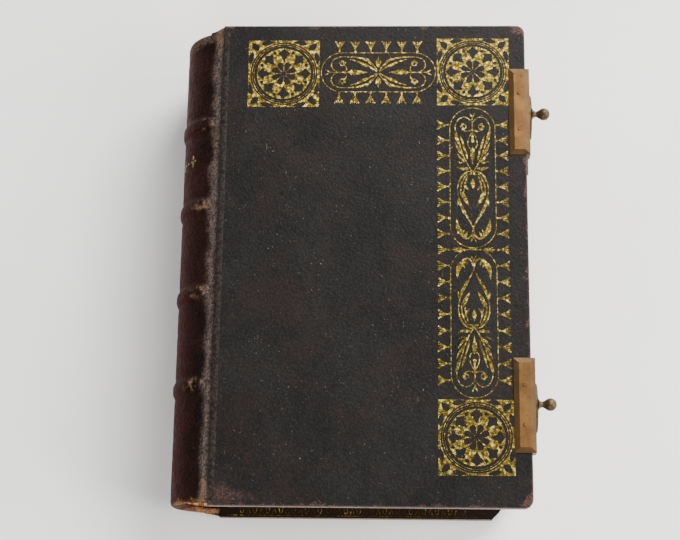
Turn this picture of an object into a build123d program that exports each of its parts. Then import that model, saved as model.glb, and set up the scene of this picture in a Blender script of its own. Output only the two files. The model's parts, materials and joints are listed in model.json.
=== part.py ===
"""Pocket prayer book: leather binding on boards, sewn text block, two brass clasps.

Millimetres. The closed book lies on its back cover. +X runs from the spine to the fore-edge,
+Y from the tail to the head, +Z up through the thickness. The pieces are drawn from the joint
line (x = 0) and the tail of the boards (y = 0), and each is then moved by the same distance,
so that the origin of the finished book lies on the table below its middle.
"""
from build123d import *
import os

os.makedirs("parts", exist_ok=True)

# ---------------------------------------------------------------- driving dimensions
BOOK_HEIGHT = 115.0            # tail to head over the boards
BOARD_EDGE = 72.5              # joint line to the fore-edge of the covers
BOOK_THICKNESS = 28.0          # leather to leather, closed
SPINE_BULGE = 9.6              # how far the rounded spine stands past the joint line

LEATHER = 0.6                  # goatskin over the boards
BOARD = 2.0                    # millboard
TURN_IN = 0.4                  # leather folded over the inner edges, and the lining between
TURN_IN_WIDTH = 7.0
CORNER_RADIUS = 2.0            # worn round corners at the fore-edge
BROKEN_CORNER = (              # line of the corner broken off the back cover at the tail
    (64.4, -1.0),
    (65.1, 0.2),
    (66.5, 1.6),
    (67.6, 3.1),
    (69.1, 4.0),
    (70.2, 5.5),
    (71.7, 6.5),
    (72.6, 8.3),
    (74.0, 9.0),
)
SQUARE = 3.0                   # boards stand past the leaves by this much
COVER = LEATHER + BOARD + TURN_IN
BOARD_START = 0.5              # the boards start this far from the joint line

# spine, in section: arcs about one centre
SPINE_Z = BOOK_THICKNESS / 2
SPINE_RADIUS = 12.95           # outer face of the leather between the bands
SPINE_X = SPINE_RADIUS - SPINE_BULGE
SPINE_LEATHER = 0.7
LINING = 0.95
FIT = 0.05                     # room between layers that are laid on each other
SPINE_TAIL = 0.8               # the head caps stop this far inside the board ends
CAP_THICKNESS = 0.6
BAND_PLACES = (27.6, 49.4, 70.6, 90.9)
BAND_WIDTH = 2.6
BAND_PROUD = 0.5
CORD_WIDTH = 1.6

# leaves
AIR = 0.3                      # between the covers and the leaves
ENDLEAF = 0.3                  # stiff end leaves at front and back
SECTION = 2.4                  # thickness of a group of gatherings that turns as one
SECTION_GAP = 0.05
FORE_EDGE_HOLLOW = 4.5         # depth of the hollow fore-edge
ENDLEAF_FOLD = 5.0             # fold lines step away from the spine, going down
SECTION_FOLDS = (5.6, 7.8, 9.1, 9.3)
SECTION_NAMES = ("first_leaves", "second_leaves", "third_leaves", "fourth_leaves")

# clasps
CLASP_PLACES = {"upper": 92.9, "lower": 22.9}
PLATE_LENGTH = 21.5
PLATE_INNER_X = 68.5
PLATE_METAL = 0.5
PLATE_BEVEL = 1.2               # bevels of the catch plates, seen from above
PLATE_BEVEL_DROP = 0.36
WALL_METAL = 0.9
FLANGE_METAL = 0.4
FLANGE_DEPTH = 2.8
RIVET_RADIUS = 0.45
RIVET_OFFSET = 4.5
RIVET_X = 70.9
RIVET_HEAD = 0.15
HINGE_Z = 1.3
KNUCKLE_RADIUS = 0.9
CLASP_CLEARANCE = 0.15          # between the plates' walls and the arms
PIN_RADIUS = 0.4
PIN_CLEARANCE = 0.05
ARM_WIDTH = 13.0
ARM_WAIST = 8.4
ARM_METAL = 0.5
ARM_TOP = 27.2
KNUCKLE_WIDTH = 3.0
KNUCKLE_GAP = 0.1
KNOB_Z = 26.2
KNOB_RADIUS = 1.45
KNOB_X = 76.8
NECK_RADIUS = 0.68
NECK_FOOT_RADIUS = 1.45
NECK_WAIST_X = 75.1
NECK_END_X = 75.85
SHANK_RADIUS = 0.5
STUD_HOLE_RADIUS = 0.75
KNOB_OFFSETS = {"upper": 0.0, "lower": 0.45}

# ---------------------------------------------------------------- worked out from those
BLOCK_BOTTOM = COVER + AIR
BLOCK_TOP = BOOK_THICKNESS - COVER - AIR
BLOCK_LENGTH = BOOK_HEIGHT - 2 * SQUARE
FORE_EDGE = BOARD_EDGE - SQUARE
LEATHER_INNER_RADIUS = SPINE_RADIUS - SPINE_LEATHER
LINING_OUTER_RADIUS = LEATHER_INNER_RADIUS - FIT
LINING_INNER_RADIUS = LINING_OUTER_RADIUS - LINING
BLOCK_SPINE_RADIUS = LINING_INNER_RADIUS - FIT
WALL_OUTER_X = BOARD_EDGE + WALL_METAL
ARM_INNER_X = WALL_OUTER_X + CLASP_CLEARANCE
HINGE_X = ARM_INNER_X + KNUCKLE_RADIUS
TOP = BOOK_THICKNESS
LEFT_END = SPINE_X - SPINE_RADIUS - BAND_PROUD
RIGHT_END = KNOB_X + KNOB_RADIUS
TO_MIDDLE = Location((-(LEFT_END + RIGHT_END) / 2, -BOOK_HEIGHT / 2, 0))


def finish(builder, name):
    """Move a finished piece to the book's own origin, label it and write its file."""
    piece = builder.part.moved(TO_MIDDLE)
    piece.label = name
    export_step(piece, f"parts/{name}.step")


def section_plane(tail):
    """Upright plane across the book at a distance from the tail, x to the right and z up."""
    return Plane.XZ.offset(-tail)


# ---------------------------------------------------------------- covers
def cover_blank(inset, bottom, top, spine_edge):
    """A board-shaped slab, rounded at the two fore-edge corners."""
    with BuildPart() as blank:
        with BuildSketch(Plane.XY.offset(bottom)):
            with Locations(((spine_edge + BOARD_EDGE - inset) / 2, BOOK_HEIGHT / 2)):
                Rectangle(BOARD_EDGE - inset - spine_edge, BOOK_HEIGHT - 2 * inset)
        extrude(amount=top - bottom)
        corners = blank.edges().filter_by(Axis.Z).group_by(Axis.X)[-1]
        fillet(corners, max(CORNER_RADIUS - inset, 0.5))
    return blank.part


def cover_levels(front):
    """Heights of the outer face, the board's two faces and the inner face of a cover."""
    outer, board_outer, board_inner, inner = 0, LEATHER, LEATHER + BOARD, COVER
    if front:
        return TOP - outer, TOP - board_outer, TOP - board_inner, TOP - inner
    return outer, board_outer, board_inner, inner


def plate_box(y_place, low, high, start, end):
    """A block as long as a clasp plate, used for metal and for its seat."""
    block = Box(end - start, PLATE_LENGTH, high - low, mode=Mode.PRIVATE)
    return Pos((start + end) / 2, y_place, (low + high) / 2) * block


def broken_corner():
    """What is missing at the tail corner of the back cover."""
    with BuildPart() as corner:
        with BuildSketch():
            with BuildLine():
                Polyline(*BROKEN_CORNER, (BROKEN_CORNER[-1][0], BROKEN_CORNER[0][1]), close=True)
            make_face()
        extrude(amount=2 * COVER, both=True)
    return corner.part


def rivet_spots(height):
    """Centres of the rivets of both plates on a cover, at one height."""
    return [
        (RIVET_X, place + side * RIVET_OFFSET, height)
        for place in CLASP_PLACES.values()
        for side in (-1, 1)
    ]


for side in ("front", "back"):
    is_front = side == "front"
    outer, board_outer, board_inner, inner = cover_levels(is_front)
    lowest, highest = min(outer, inner), max(outer, inner)
    board_low, board_high = min(board_outer, board_inner), max(board_outer, board_inner)
    lining_low, lining_high = min(board_inner, inner), max(board_inner, inner)

    with BuildPart() as board:
        add(cover_blank(LEATHER, board_low, board_high, BOARD_START))
        with Locations(rivet_spots((board_low + board_high) / 2)):
            Cylinder(RIVET_RADIUS, COVER, mode=Mode.SUBTRACT)
        if not is_front:
            add(broken_corner(), mode=Mode.SUBTRACT)
    finish(board, f"{side}_board")

    with BuildPart() as leather:
        add(cover_blank(0, lowest, highest, BOARD_START))
        add(cover_blank(LEATHER, board_low, board_high, BOARD_START), mode=Mode.SUBTRACT)
        add(
            cover_blank(TURN_IN_WIDTH, lining_low, lining_high, BOARD_START),
            mode=Mode.SUBTRACT,
        )
        outer_edges = leather.faces().sort_by(Axis.Z)[-1 if is_front else 0].edges()
        fillet(outer_edges.sort_by(Axis.X)[1:], 0.45)
        with Locations(rivet_spots((lowest + highest) / 2)):
            Cylinder(RIVET_RADIUS, 2 * COVER, mode=Mode.SUBTRACT)
        if not is_front:
            add(broken_corner(), mode=Mode.SUBTRACT)
            for place in CLASP_PLACES.values():
                add(
                    plate_box(place, -1, PLATE_METAL, PLATE_INNER_X, BOARD_EDGE + 1),
                    mode=Mode.SUBTRACT,
                )
    finish(leather, f"{side}_leather")

    with BuildPart() as pastedown:
        add(cover_blank(TURN_IN_WIDTH, lining_low, lining_high, BOARD_START))
    finish(pastedown, f"{side}_pastedown")

# ---------------------------------------------------------------- spine
def spine_ring(tail, head, inner_radius, outer_radius, limit_x=0.0):
    """Part of a tube about the spine's centre, kept left of limit_x."""
    with BuildPart() as ring:
        with BuildSketch(section_plane(tail)):
            with Locations((SPINE_X, SPINE_Z)):
                Circle(outer_radius)
                Circle(inner_radius, mode=Mode.SUBTRACT)
            with Locations((limit_x - BOARD_EDGE / 2, SPINE_Z)):
                Rectangle(BOARD_EDGE, 2 * BOOK_THICKNESS, mode=Mode.INTERSECT)
        extrude(amount=-(head - tail))
    return ring.part


SPINE_HEAD = BOOK_HEIGHT - SPINE_TAIL

with BuildPart() as spine_leather:
    add(spine_ring(SPINE_TAIL, SPINE_HEAD, LEATHER_INNER_RADIUS, SPINE_RADIUS))
    for place in BAND_PLACES:
        add(
            spine_ring(
                place - BAND_WIDTH / 2,
                place + BAND_WIDTH / 2,
                LEATHER_INNER_RADIUS,
                SPINE_RADIUS + BAND_PROUD,
            )
        )
        add(
            spine_ring(
                place - CORD_WIDTH / 2,
                place + CORD_WIDTH / 2,
                LEATHER_INNER_RADIUS - 1,
                SPINE_RADIUS - 0.1,
            ),
            mode=Mode.SUBTRACT,
        )
    for cap_tail in (SPINE_TAIL, SPINE_HEAD - CAP_THICKNESS):
        add(
            spine_ring(
                cap_tail, cap_tail + CAP_THICKNESS, BLOCK_SPINE_RADIUS, LEATHER_INNER_RADIUS
            )
        )
finish(spine_leather, "spine_leather")

with BuildPart() as sewing_cords:
    for place in BAND_PLACES:
        add(
            spine_ring(
                place - CORD_WIDTH / 2,
                place + CORD_WIDTH / 2,
                LINING_OUTER_RADIUS,
                SPINE_RADIUS - 0.1,
            )
        )
finish(sewing_cords, "sewing_cords")

with BuildPart() as spine_lining:
    add(
        spine_ring(SQUARE, SQUARE + BLOCK_LENGTH, LINING_INNER_RADIUS, LINING_OUTER_RADIUS)
    )
finish(spine_lining, "spine_lining")

BAND_CORE = SQUARE - SPINE_TAIL - CAP_THICKNESS - 0.2
for name, tail in (("tail_band", SQUARE - BAND_CORE), ("head_band", SQUARE + BLOCK_LENGTH)):
    with BuildPart() as end_band:
        add(
            spine_ring(
                tail, tail + BAND_CORE, BLOCK_SPINE_RADIUS - 0.2, LINING_OUTER_RADIUS, -1.5
            )
        )
    finish(end_band, name)

# ---------------------------------------------------------------- leaves
HALF_BLOCK = (BLOCK_TOP - BLOCK_BOTTOM) / 2
SHOULDER_X = SPINE_X - (BLOCK_SPINE_RADIUS**2 - HALF_BLOCK**2) ** 0.5


def leaf_layer(low, high, start, end=BOARD_EDGE):
    """Leaves between two heights and two distances from the joint, the full page long."""
    with BuildPart() as layer:
        with BuildSketch(section_plane(SQUARE)):
            with BuildLine():
                ThreePointArc(
                    (SHOULDER_X, BLOCK_BOTTOM),
                    (SPINE_X - BLOCK_SPINE_RADIUS, SPINE_Z),
                    (SHOULDER_X, BLOCK_TOP),
                )
                Line((SHOULDER_X, BLOCK_TOP), (FORE_EDGE, BLOCK_TOP))
                ThreePointArc(
                    (FORE_EDGE, BLOCK_TOP),
                    (FORE_EDGE - FORE_EDGE_HOLLOW, SPINE_Z),
                    (FORE_EDGE, BLOCK_BOTTOM),
                )
                Line((FORE_EDGE, BLOCK_BOTTOM), (SHOULDER_X, BLOCK_BOTTOM))
            make_face()
            with Locations(((start + end) / 2, (low + high) / 2)):
                Rectangle(end - start, high - low, mode=Mode.INTERSECT)
        extrude(amount=-BLOCK_LENGTH)
    return layer.part


layers = [("front_flyleaf", BLOCK_TOP - ENDLEAF, BLOCK_TOP, ENDLEAF_FOLD)]
level = BLOCK_TOP - ENDLEAF - SECTION_GAP
for name, fold in zip(SECTION_NAMES, SECTION_FOLDS):
    layers.append((name, level - SECTION, level, fold))
    level -= SECTION + SECTION_GAP

SPINE_SIDE = -SPINE_BULGE
with BuildPart() as text_block:
    add(leaf_layer(BLOCK_BOTTOM + ENDLEAF, level, SPINE_SIDE))
    for name, low, high, fold in layers:
        add(leaf_layer(low - SECTION_GAP, high, SPINE_SIDE, fold - SECTION_GAP))
finish(text_block, "text_block")

for name, low, high, fold in layers:
    with BuildPart() as leaves:
        add(leaf_layer(low, high, fold))
    finish(leaves, name)

with BuildPart() as back_flyleaf:
    add(leaf_layer(BLOCK_BOTTOM, BLOCK_BOTTOM + ENDLEAF, SPINE_SIDE))
finish(back_flyleaf, "back_flyleaf")

# ---------------------------------------------------------------- clasps
for side, place in CLASP_PLACES.items():
    knob_place = place + KNOB_OFFSETS[side]

    # catch plate: a cap over the fore-edge of the front cover, bevelled on top
    plate_low = TOP - COVER - FLANGE_METAL
    with BuildPart() as catch_plate:
        add(plate_box(place, plate_low, TOP + PLATE_METAL, PLATE_INNER_X, WALL_OUTER_X))
        top_face = catch_plate.faces().sort_by(Axis.Z)[-1]
        chamfer(top_face.edges(), PLATE_BEVEL, PLATE_BEVEL_DROP, reference=top_face)
        add(
            plate_box(place, TOP - COVER, TOP, 0, BOARD_EDGE),
            mode=Mode.SUBTRACT,
        )
        add(
            plate_box(place, plate_low - 1, TOP - COVER, 0, BOARD_EDGE - FLANGE_DEPTH),
            mode=Mode.SUBTRACT,
        )
        with Locations((BOARD_EDGE, knob_place, KNOB_Z)):
            Cylinder(STUD_HOLE_RADIUS, 2, rotation=(0, 90, 0), mode=Mode.SUBTRACT)
        with Locations([spot for spot in rivet_spots(TOP) if abs(spot[1] - place) < PLATE_LENGTH]):
            Cylinder(RIVET_RADIUS, 3 * COVER, mode=Mode.SUBTRACT)
    finish(catch_plate, f"{side}_catch_plate")

    # hinge plate: the same cap on the back cover, let in flush below, with two knuckles
    with BuildPart() as hinge_plate:
        add(plate_box(place, 0, COVER + FLANGE_METAL, PLATE_INNER_X, WALL_OUTER_X))
        add(
            plate_box(place, PLATE_METAL, COVER, 0, BOARD_EDGE),
            mode=Mode.SUBTRACT,
        )
        add(
            plate_box(place, COVER, COVER + 1, 0, BOARD_EDGE - FLANGE_DEPTH),
            mode=Mode.SUBTRACT,
        )
        for end in (-1, 1):
            y_knuckle = place + end * (ARM_WIDTH - KNUCKLE_WIDTH) / 2
            with Locations((HINGE_X, y_knuckle, HINGE_Z)):
                Cylinder(KNUCKLE_RADIUS, KNUCKLE_WIDTH, rotation=(90, 0, 0))
            with Locations(((BOARD_EDGE + HINGE_X) / 2, y_knuckle, HINGE_Z)):
                Box(HINGE_X - BOARD_EDGE, KNUCKLE_WIDTH, KNUCKLE_RADIUS)
        with Locations((HINGE_X, place, HINGE_Z)):
            Cylinder(PIN_RADIUS, PLATE_LENGTH, rotation=(90, 0, 0), mode=Mode.SUBTRACT)
        with Locations([spot for spot in rivet_spots(0) if abs(spot[1] - place) < PLATE_LENGTH]):
            Cylinder(RIVET_RADIUS, 3 * COVER, mode=Mode.SUBTRACT)
    finish(hinge_plate, f"{side}_hinge_plate")

    with BuildPart() as hinge_pin:
        with Locations((HINGE_X, place, HINGE_Z)):
            Cylinder(PIN_RADIUS, ARM_WIDTH + 0.4, rotation=(90, 0, 0))
    finish(hinge_pin, f"{side}_hinge_pin")

    # arm: a waisted strap with the middle knuckle, drilled for the knob's shank
    arm_foot = HINGE_Z + KNUCKLE_RADIUS + 0.3
    knuckle_width = ARM_WIDTH - 2 * KNUCKLE_WIDTH - 2 * KNUCKLE_GAP
    with BuildPart() as clasp_arm:
        with BuildSketch(Plane.YZ.offset(ARM_INNER_X)):
            with BuildLine():
                half, waist = ARM_WIDTH / 2, ARM_WAIST / 2
                middle = (arm_foot + ARM_TOP) / 2
                crown = ARM_TOP - 3
                Line((place - half, arm_foot), (place + half, arm_foot))
                ThreePointArc(
                    (place + half, arm_foot), (place + waist, middle), (place + half - 0.8, crown)
                )
                ThreePointArc(
                    (place + half - 0.8, crown), (place, ARM_TOP), (place - half + 0.8, crown)
                )
                ThreePointArc(
                    (place - half + 0.8, crown), (place - waist, middle), (place - half, arm_foot)
                )
            make_face()
            with Locations((place, (HINGE_Z + arm_foot) / 2)):
                Rectangle(knuckle_width, arm_foot - HINGE_Z)
        extrude(amount=ARM_METAL)
        rim = clasp_arm.faces().sort_by(Axis.X)[-1].edges().filter_by(GeomType.CIRCLE)
        chamfer(rim, 0.25)
        with Locations((HINGE_X, place, HINGE_Z)):
            Cylinder(KNUCKLE_RADIUS, knuckle_width, rotation=(90, 0, 0))
            Cylinder(
                PIN_RADIUS + PIN_CLEARANCE, ARM_WIDTH, rotation=(90, 0, 0), mode=Mode.SUBTRACT
            )
        with Locations((ARM_INNER_X, knob_place, KNOB_Z)):
            Cylinder(SHANK_RADIUS, 3 * ARM_METAL, rotation=(0, 90, 0), mode=Mode.SUBTRACT)
    finish(clasp_arm, f"{side}_clasp_arm")

    # knob: a ball on a waisted neck, its shank riveted through the arm
    neck_x = ARM_INNER_X + ARM_METAL
    neck_end_radius = (KNOB_RADIUS**2 - (KNOB_X - NECK_END_X) ** 2) ** 0.5
    with BuildPart() as clasp_knob:
        with BuildSketch(Plane.XZ.offset(-knob_place)):
            with BuildLine():
                Polyline(
                    (neck_x, KNOB_Z + NECK_FOOT_RADIUS),
                    (neck_x, KNOB_Z + SHANK_RADIUS),
                    (ARM_INNER_X, KNOB_Z + SHANK_RADIUS),
                    (ARM_INNER_X, KNOB_Z),
                    (KNOB_X + KNOB_RADIUS, KNOB_Z),
                )
                ThreePointArc(
                    (KNOB_X + KNOB_RADIUS, KNOB_Z),
                    (KNOB_X, KNOB_Z + KNOB_RADIUS),
                    (NECK_END_X, KNOB_Z + neck_end_radius),
                )
                Spline(
                    (NECK_END_X, KNOB_Z + neck_end_radius),
                    (NECK_WAIST_X, KNOB_Z + NECK_RADIUS),
                    (neck_x, KNOB_Z + NECK_FOOT_RADIUS),
                    tangents=((-1, -0.6), (-0.5, 1)),
                )
            make_face()
        revolve(axis=Axis((0, knob_place, KNOB_Z), (1, 0, 0)))
    finish(clasp_knob, f"{side}_clasp_knob")

# ---------------------------------------------------------------- rivets
with BuildPart() as catch_rivets:
    low = TOP - COVER - FLANGE_METAL
    high = TOP + PLATE_METAL + RIVET_HEAD
    with Locations(rivet_spots((low + high) / 2)):
        Cylinder(RIVET_RADIUS, high - low)
    chamfer(catch_rivets.faces().filter_by(Axis.Z).group_by(Axis.Z)[-1].edges(), 0.12)
finish(catch_rivets, "catch_rivets")

with BuildPart() as hinge_rivets:
    with Locations(rivet_spots((COVER + FLANGE_METAL) / 2)):
        Cylinder(RIVET_RADIUS, COVER + FLANGE_METAL)
finish(hinge_rivets, "hinge_rivets")
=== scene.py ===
"""Looks of the pocket prayer book: worn black goatskin, gold tooling, gilt leaves, brass clasps.

Sizes in the text are millimetres from the front joint line (x) and the tail of the boards (y);
spot() turns them into the frame's metres.
"""
import json
import math

import bpy
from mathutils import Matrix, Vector


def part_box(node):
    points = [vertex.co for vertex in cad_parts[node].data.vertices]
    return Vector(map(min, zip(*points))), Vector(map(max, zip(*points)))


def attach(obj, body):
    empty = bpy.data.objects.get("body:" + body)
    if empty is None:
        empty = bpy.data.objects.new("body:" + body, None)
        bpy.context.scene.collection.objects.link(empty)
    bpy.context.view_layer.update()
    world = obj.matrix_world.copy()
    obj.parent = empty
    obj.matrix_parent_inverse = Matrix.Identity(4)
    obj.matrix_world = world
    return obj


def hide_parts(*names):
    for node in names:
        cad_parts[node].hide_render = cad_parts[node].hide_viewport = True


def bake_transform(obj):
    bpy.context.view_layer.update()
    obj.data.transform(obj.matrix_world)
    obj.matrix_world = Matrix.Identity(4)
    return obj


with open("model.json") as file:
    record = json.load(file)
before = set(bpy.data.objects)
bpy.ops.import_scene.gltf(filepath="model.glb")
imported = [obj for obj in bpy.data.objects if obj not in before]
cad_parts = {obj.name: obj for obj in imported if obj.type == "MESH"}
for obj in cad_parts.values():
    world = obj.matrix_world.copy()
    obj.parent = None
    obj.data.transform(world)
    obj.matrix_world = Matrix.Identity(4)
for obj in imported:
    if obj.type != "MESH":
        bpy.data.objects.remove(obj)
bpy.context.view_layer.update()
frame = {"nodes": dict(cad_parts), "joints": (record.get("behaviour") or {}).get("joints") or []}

MM = 0.001

# ------------------------------------------------------------------ places taken from the frame
joints = {joint["name"]: joint for joint in frame["joints"]}
cover_low, cover_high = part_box("front_leather")
back_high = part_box("back_leather")[1]
JOINT_X = joints["front_cover_fold"]["pos_m"][0]
TAIL_Y = cover_low.y
COVER_LENGTH = (cover_high.y - cover_low.y) / MM
COVER_WIDTH = (cover_high.x - JOINT_X) / MM
FRONT_TOP = cover_high.z / MM
FRONT_INNER = cover_low.z / MM
BACK_INNER = back_high.z / MM


def spot(x, y, z):
    """Frame position of a point given from the joint line, the tail and the table."""
    return Vector((JOINT_X + x * MM, TAIL_Y + y * MM, z * MM))


# ------------------------------------------------------------------ materials
SKIN_DARK = "#0E0D0C"
SKIN_LIGHT = "#191816"
SKIN_BROWN = "#221713"
SKIN_GREY = "#292824"
SKIN_SHEEN = 0.16
SPINE_SHEEN = 0.03
BARE_DARK = "#38231E"
BARE_LIGHT = "#76564C"
GOLD_DARK = "#4A3C14"
GOLD_MID = "#7C6820"
# painted highlight: the palest gold stands for glints of light on the leaf
GOLD_GLINT = "#F4DA78"


def paint(code):
    """Linear colour of an sRGB hex code."""
    channels = [int(code[i : i + 2], 16) / 255 for i in (1, 3, 5)]
    linear = [c / 12.92 if c <= 0.04045 else ((c + 0.055) / 1.055) ** 2.4 for c in channels]
    return (*linear, 1.0)


def feed(tree, target, inputs):
    """Set a node's inputs, each to a value or from the output of another node."""
    for key, value in inputs.items():
        if isinstance(value, bpy.types.NodeSocket):
            tree.links.new(value, target.inputs[key])
        else:
            target.inputs[key].default_value = value


def node(tree, kind, inputs=None, **settings):
    """Add one node with its settings, and set or link its inputs."""
    made = tree.nodes.new(kind)
    for key, value in settings.items():
        setattr(made, key, value)
    feed(tree, made, inputs or {})
    return made


def new_material(name):
    """An empty material, with its node tree and its shader."""
    material = bpy.data.materials.new(name)
    material.use_nodes = True
    tree = material.node_tree
    return material, tree, tree.nodes["Principled BSDF"]


def place_of(tree, remembered):
    """Where a point of the piece lies: its remembered place on bending pieces, else its own."""
    if remembered:
        return node(tree, "ShaderNodeAttribute", attribute_name="rest_place").outputs["Vector"]
    return node(tree, "ShaderNodeTexCoord").outputs["Object"]


def grain(tree, place, size_mm, detail=3.0, roughness=0.55, distortion=0.0):
    """Cloudy pattern whose blotches are about this many millimetres across."""
    return node(
        tree,
        "ShaderNodeTexNoise",
        {
            "Vector": place,
            "Scale": 1 / (size_mm * MM),
            "Detail": detail,
            "Roughness": roughness,
            "Distortion": distortion,
        },
    ).outputs["Fac"]


def ramp(tree, value, low, high, start=0.0, end=1.0):
    """Smooth step of a value between two limits."""
    return node(
        tree,
        "ShaderNodeMapRange",
        {"Value": value, "From Min": low, "From Max": high, "To Min": start, "To Max": end},
        interpolation_type="SMOOTHSTEP",
    ).outputs["Result"]


def blend_colour(tree, share, first, second):
    """Colour mixed from first to second by a share from 0 to 1."""
    inputs = {0: share, 6: first, 7: second}
    return node(tree, "ShaderNodeMix", inputs, data_type="RGBA").outputs[2]


def combine(tree, first, second, operation="ADD"):
    """Two values put together, by addition unless told otherwise."""
    return node(tree, "ShaderNodeMath", {0: first, 1: second}, operation=operation).outputs[0]


def size_of(tree, value):
    """A value without its sign."""
    return node(tree, "ShaderNodeMath", {0: value}, operation="ABSOLUTE").outputs[0]


def axes_of(tree, vector):
    """The X, Y and Z of a vector."""
    return node(tree, "ShaderNodeSeparateXYZ", {"Vector": vector}).outputs


def relief(tree, height, strength, depth_mm, over=None, sunk=False):
    """Surface direction where a pattern is raised, or sunk, over the surface below it."""
    inputs = {"Height": height, "Strength": strength, "Distance": depth_mm * MM}
    if over is not None:
        inputs["Normal"] = over
    return node(tree, "ShaderNodeBump", inputs, invert=sunk).outputs["Normal"]


def stretched(tree, place, scale, turn_deg=0.0):
    """A place scaled along each axis, so that a pattern on it runs long where the scale is low."""
    inputs = {"Vector": place, "Rotation": (0, 0, math.radians(turn_deg)), "Scale": scale}
    return node(tree, "ShaderNodeMapping", inputs).outputs["Vector"]


def edge_nearness(tree, place):
    """How near a point lies to the head, tail or fore-edge of a cover, in metres."""
    parts = axes_of(tree, place)
    to_fore = combine(tree, cover_high.x, parts["X"], "SUBTRACT")
    to_head = combine(tree, cover_high.y, parts["Y"], "SUBTRACT")
    to_tail = combine(tree, parts["Y"], cover_low.y, "SUBTRACT")
    ends = combine(tree, to_head, to_tail, "MINIMUM")
    return combine(tree, to_fore, ends, "MINIMUM"), to_fore, ends, parts


def pebble_pattern(tree, place, size_mm):
    """The grain of goatskin: rounded pebbles with fine creases between them."""
    return node(
        tree,
        "ShaderNodeTexVoronoi",
        {"Vector": place, "Scale": 1 / (size_mm * MM), "Randomness": 0.9},
        feature="SMOOTH_F1",
    ).outputs["Distance"]


def scratches(tree, place, turn_deg, size_mm):
    """Hair scratches running one way: a stretched pattern cut off near its crests."""
    drawn_out = stretched(tree, place, (1.0, 0.06, 1.0), turn_deg)
    return ramp(tree, grain(tree, drawn_out, size_mm, 2, 0.5), 0.74, 0.78)


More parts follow.
